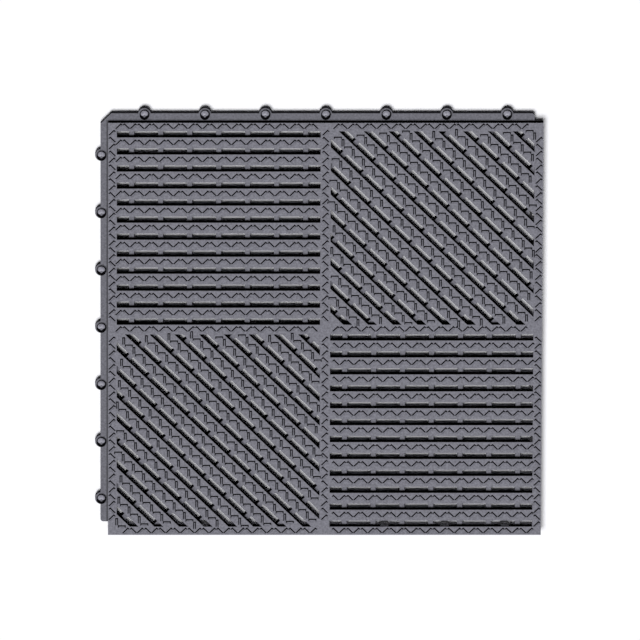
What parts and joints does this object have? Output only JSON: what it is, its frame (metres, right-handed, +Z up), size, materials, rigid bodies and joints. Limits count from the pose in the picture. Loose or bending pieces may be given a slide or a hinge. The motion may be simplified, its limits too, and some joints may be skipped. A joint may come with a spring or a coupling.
{
  "type": "interlocking drainage tile",
  "caption": "Square floor tile moulded in one piece, with straight and diagonal drain slots on top, ribs below, and pegs and sockets along its sides that join it to its neighbours.",
  "frame": {"origin": "middle of the whole footprint, ledges and pegs included, on the floor", "axes": "+Z up through the deck; the ledges with pegs are on the +Y and -X sides, the sockets on the -Y and +X sides"},
  "size_m": [0.309, 0.309, 0.013],
  "materials": {
    "soft_pvc": "matt moulded soft PVC"
  },
  "bodies": {
    "root": {"drainage_tile": "soft_pvc"}
  },
  "joints": []
}
